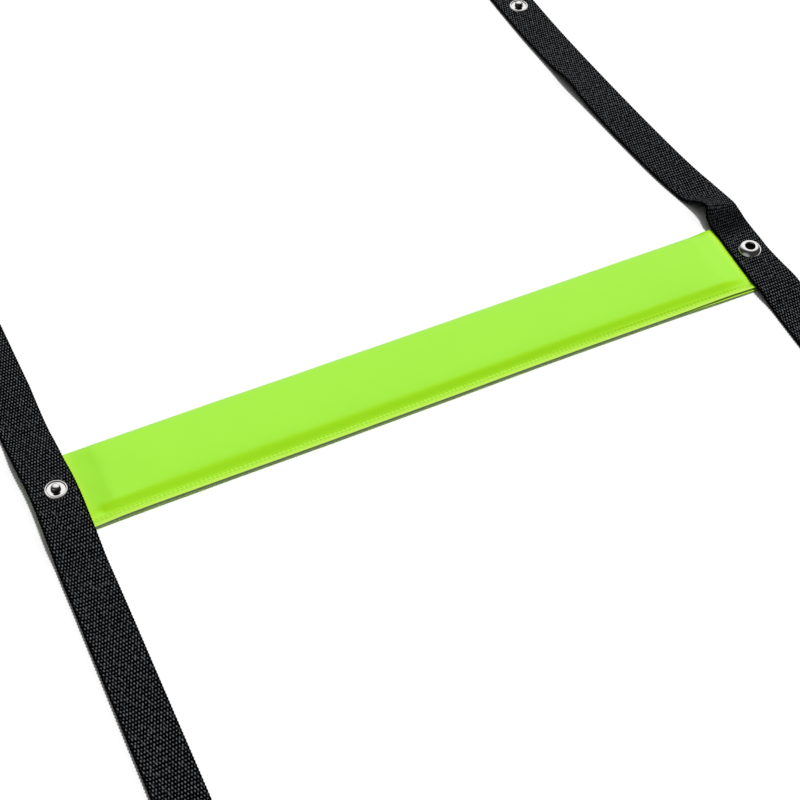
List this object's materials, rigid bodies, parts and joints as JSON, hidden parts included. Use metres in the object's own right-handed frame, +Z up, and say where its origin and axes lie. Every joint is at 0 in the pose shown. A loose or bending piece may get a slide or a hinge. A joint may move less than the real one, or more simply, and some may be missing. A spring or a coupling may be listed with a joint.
{
  "type": "agility ladder",
  "caption": "Flat floor ladder for footwork drills: bright padded rungs between two black webbing straps with press fasteners; folds up as a zigzag.",
  "frame": {"origin": "on the floor at the middle of the ladder, under the middle rung", "axes": "+Z up; rungs lie along X; straps run along Y, and +Y is away from the picture's camera"},
  "size_m": [0.447, 3.6179, 0.009],
  "materials": {
    "vinyl": "satin welded vinyl sheet, bright yellow-green",
    "slat": "extruded plastic strip, off-white, hidden",
    "webbing": "black plain-woven polypropylene webbing",
    "nickel": "bright nickel-plated brass press fastener"
  },
  "bodies": {
    "segment_1": {"rung_sleeve_1": "vinyl", "rung_slat_1": "slat", "left_strap_1": "webbing", "right_strap_1": "webbing", "left_rung_stud_1": "nickel", "right_rung_socket_1": "nickel", "left_bay_socket_1": "nickel", "right_bay_stud_1": "nickel", "left_end_socket": "nickel", "right_end_stud": "nickel"},
    "segment_2": {"rung_sleeve_2": "vinyl", "rung_slat_2": "slat", "left_strap_2": "webbing", "right_strap_2": "webbing", "left_rung_stud_2": "nickel", "right_rung_socket_2": "nickel", "left_bay_socket_2": "nickel", "right_bay_stud_2": "nickel"},
    "segment_3": {"rung_sleeve_3": "vinyl", "rung_slat_3": "slat", "left_strap_3": "webbing", "right_strap_3": "webbing", "left_rung_stud_3": "nickel", "right_rung_socket_3": "nickel", "left_bay_socket_3": "nickel", "right_bay_stud_3": "nickel"},
    "segment_4": {"rung_sleeve_4": "vinyl", "rung_slat_4": "slat", "left_strap_4": "webbing", "right_strap_4": "webbing", "left_rung_stud_4": "nickel", "right_rung_socket_4": "nickel", "left_bay_socket_4": "nickel", "right_bay_stud_4": "nickel"},
    "segment_5": {"rung_sleeve_5": "vinyl", "rung_slat_5": "slat", "left_strap_5": "webbing", "right_strap_5": "webbing", "left_rung_stud_5": "nickel", "right_rung_socket_5": "nickel", "left_bay_socket_5": "nickel", "right_bay_stud_5": "nickel"},
    "segment_6": {"rung_sleeve_6": "vinyl", "rung_slat_6": "slat", "left_strap_6": "webbing", "right_strap_6": "webbing", "left_rung_stud_6": "nickel", "right_rung_socket_6": "nickel", "left_bay_socket_6": "nickel", "right_bay_stud_6": "nickel"},
    "segment_7": {"rung_sleeve_7": "vinyl", "rung_slat_7": "slat", "left_strap_7": "webbing", "right_strap_7": "webbing", "left_rung_stud_7": "nickel", "right_rung_socket_7": "nickel", "left_bay_socket_7": "nickel", "right_bay_stud_7": "nickel"}
  },
  "joints": [
    {"name": "fold_1", "type": "hinge", "parent": "segment_1", "child": "segment_2", "pos_m": [0, -1.251, 0.0065], "axis": [1, 0, 0], "range_deg": [0, 178]},
    {"name": "fold_2", "type": "hinge", "parent": "segment_2", "child": "segment_3", "pos_m": [0, -0.741, -0.0003], "axis": [-1, 0, 0], "range_deg": [0, 178]},
    {"name": "fold_3", "type": "hinge", "parent": "segment_3", "child": "segment_4", "pos_m": [0, -0.231, 0.0065], "axis": [1, 0, 0], "range_deg": [0, 178]},
    {"name": "fold_4", "type": "hinge", "parent": "segment_4", "child": "segment_5", "pos_m": [0, 0.279, -0.0003], "axis": [-1, 0, 0], "range_deg": [0, 178]},
    {"name": "fold_5", "type": "hinge", "parent": "segment_5", "child": "segment_6", "pos_m": [0, 0.789, 0.0065], "axis": [1, 0, 0], "range_deg": [0, 178]},
    {"name": "fold_6", "type": "hinge", "parent": "segment_6", "child": "segment_7", "pos_m": [0, 1.299, -0.0003], "axis": [-1, 0, 0], "range_deg": [0, 178]}
  ],
  "couplings": [
    {"joint": "fold_2", "follows": "fold_1", "ratio": 1},
    {"joint": "fold_4", "follows": "fold_3", "ratio": 1},
    {"joint": "fold_6", "follows": "fold_5", "ratio": 1}
  ]
}
